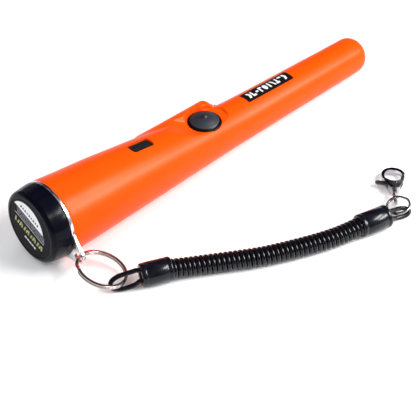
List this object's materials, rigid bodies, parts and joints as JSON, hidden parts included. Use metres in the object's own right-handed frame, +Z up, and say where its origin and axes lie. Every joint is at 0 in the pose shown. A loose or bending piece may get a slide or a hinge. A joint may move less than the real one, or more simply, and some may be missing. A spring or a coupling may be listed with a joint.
{
  "type": "pinpointer probe",
  "caption": "Hand-held metal-detecting pinpointer: tapered round housing with push button, screw-on battery cap and a coiled lanyard that ends in a swivel clasp.",
  "frame": {"origin": "on the surface the probe lies on, under the middle of the probe without its lanyard", "axes": "+X from the battery cap to the detecting tip, along the straight underside; +Z up, out through the button; the lanyard lies on the -Y side"},
  "size_m": [0.2308, 0.1217, 0.0384],
  "materials": {
    "housing_orange": "satin",
    "grille_black": "satin",
    "bezel_black": "semi-gloss",
    "button_rubber": "matte",
    "printed_strip": "semi-gloss",
    "lens_clear": "polished",
    "led_white": "glossy",
    "cap_black": "semi-gloss",
    "seal_rubber": "matte",
    "printed_disc": "satin",
    "foam": "matte",
    "plate_steel": "polished",
    "battery_sleeve": "satin",
    "snap_black": "matte",
    "lead_red": "matte",
    "lead_black": "matte",
    "bulkhead_black": "matte",
    "screw_steel": "bright",
    "board_green": "satin",
    "chip_black": "matte",
    "board_parts_tan": "satin",
    "switch_grey": "satin",
    "buzzer_black": "matte",
    "motor_steel": "bright",
    "weight_brass": "plain",
    "ferrite": "matte",
    "former_tan": "matte",
    "winding_red": "enamelled",
    "winding_brown": "enamelled",
    "potting": "matte",
    "ring_steel": "polished",
    "cord_black": "glossy",
    "sleeve_black": "glossy",
    "clasp_chrome": "polished",
    "lever_grey": "satin",
    "pin_steel": "bright"
  },
  "bodies": {
    "probe": {"housing": "housing_orange", "speaker_grille": "grille_black", "button_bezel": "bezel_black", "body_label": "printed_strip", "led_lens": "lens_clear", "led": "led_white", "lanyard_plate": "plate_steel", "battery": "battery_sleeve", "battery_snap": "snap_black", "lead_positive": "lead_red", "lead_negative": "lead_black", "bulkhead": "bulkhead_black", "bulkhead_screws": "screw_steel", "main_board": "board_green", "chips": "chip_black", "board_parts": "board_parts_tan", "button_switch": "switch_grey", "buzzer": "buzzer_black", "motor_can": "motor_steel", "ferrite_rod": "ferrite", "coil_former": "former_tan", "transmit_winding": "winding_red", "receive_winding": "winding_brown", "tip_potting": "potting"},
    "power_button": {"power_button": "button_rubber"},
    "cap_carrier": {"cap_seal": "seal_rubber"},
    "battery_cap": {"battery_cap": "cap_black", "cap_label": "printed_disc", "battery_pad": "foam"},
    "motor_weight": {"motor_weight": "weight_brass"},
    "split_ring": {"split_ring": "ring_steel"},
    "lanyard": {"near_loop": "cord_black", "near_sleeve": "sleeve_black", "coil": "cord_black", "far_sleeve": "sleeve_black", "far_loop": "cord_black"},
    "small_ring": {"small_ring": "ring_steel"},
    "clasp_swivel": {"clasp_swivel": "clasp_chrome"},
    "clasp": {"clasp_body": "clasp_chrome", "lever_pin": "pin_steel", "lever_spring": "pin_steel"},
    "clasp_lever": {"clasp_lever": "lever_grey"}
  },
  "joints": [
    {"name": "cap_travel", "type": "slide", "parent": "probe", "child": "cap_carrier", "axis": [-0.998, 0, 0.063], "range_m": [0, 0.006]},
    {"name": "cap_turn", "type": "hinge", "parent": "cap_carrier", "child": "battery_cap", "pos_m": [-0.11438, 0, 0.01969], "axis": [-0.998, 0, 0.063], "range_deg": [0, 1440]},
    {"name": "button_press", "type": "slide", "parent": "probe", "child": "power_button", "axis": [0, 0, -1], "range_m": [0, 0.0008], "stiffness_N_per_m": 800},
    {"name": "motor_spin", "type": "hinge", "parent": "probe", "child": "motor_weight", "pos_m": [-0.02669, 0, 0.00884], "axis": [0.998, 0, -0.063], "continuous": true},
    {"name": "ring_swing", "type": "hinge", "parent": "probe", "child": "split_ring", "pos_m": [-0.1027, -0.0224, 0.0113], "axis": [0, 0, 1], "range_deg": [-6, 6]},
    {"name": "lanyard_swing", "type": "hinge", "parent": "split_ring", "child": "lanyard", "pos_m": [-0.0931, -0.0432, 0.004], "axis": [0, 0, 1], "range_deg": [-25, 12]},
    {"name": "small_ring_swing", "type": "hinge", "parent": "lanyard", "child": "small_ring", "pos_m": [0.0312, -0.0986, 0.0038], "axis": [0, 0, 1], "range_deg": [-7, 7]},
    {"name": "clasp_swing", "type": "hinge", "parent": "small_ring", "child": "clasp_swivel", "pos_m": [0.0401, -0.0903, 0.0045], "axis": [0, 0, 1], "range_deg": [-10, 10]},
    {"name": "clasp_spin", "type": "hinge", "parent": "clasp_swivel", "child": "clasp", "pos_m": [0.0426, -0.0874, 0.0033], "axis": [0.7385, 0.672, -0.0558], "continuous": true},
    {"name": "gate_open", "type": "hinge", "parent": "clasp", "child": "clasp_lever", "pos_m": [0.04714, -0.08408, 0.00299], "axis": [0.0413, 0.0376, 0.9984], "range_deg": [0, 16], "stiffness_Nm_per_rad": 0.01, "springref_deg": -11.46}
  ],
  "couplings": [
    {"joint": "cap_turn", "follows": "cap_travel", "rad_per_m": 4188.8}
  ]
}
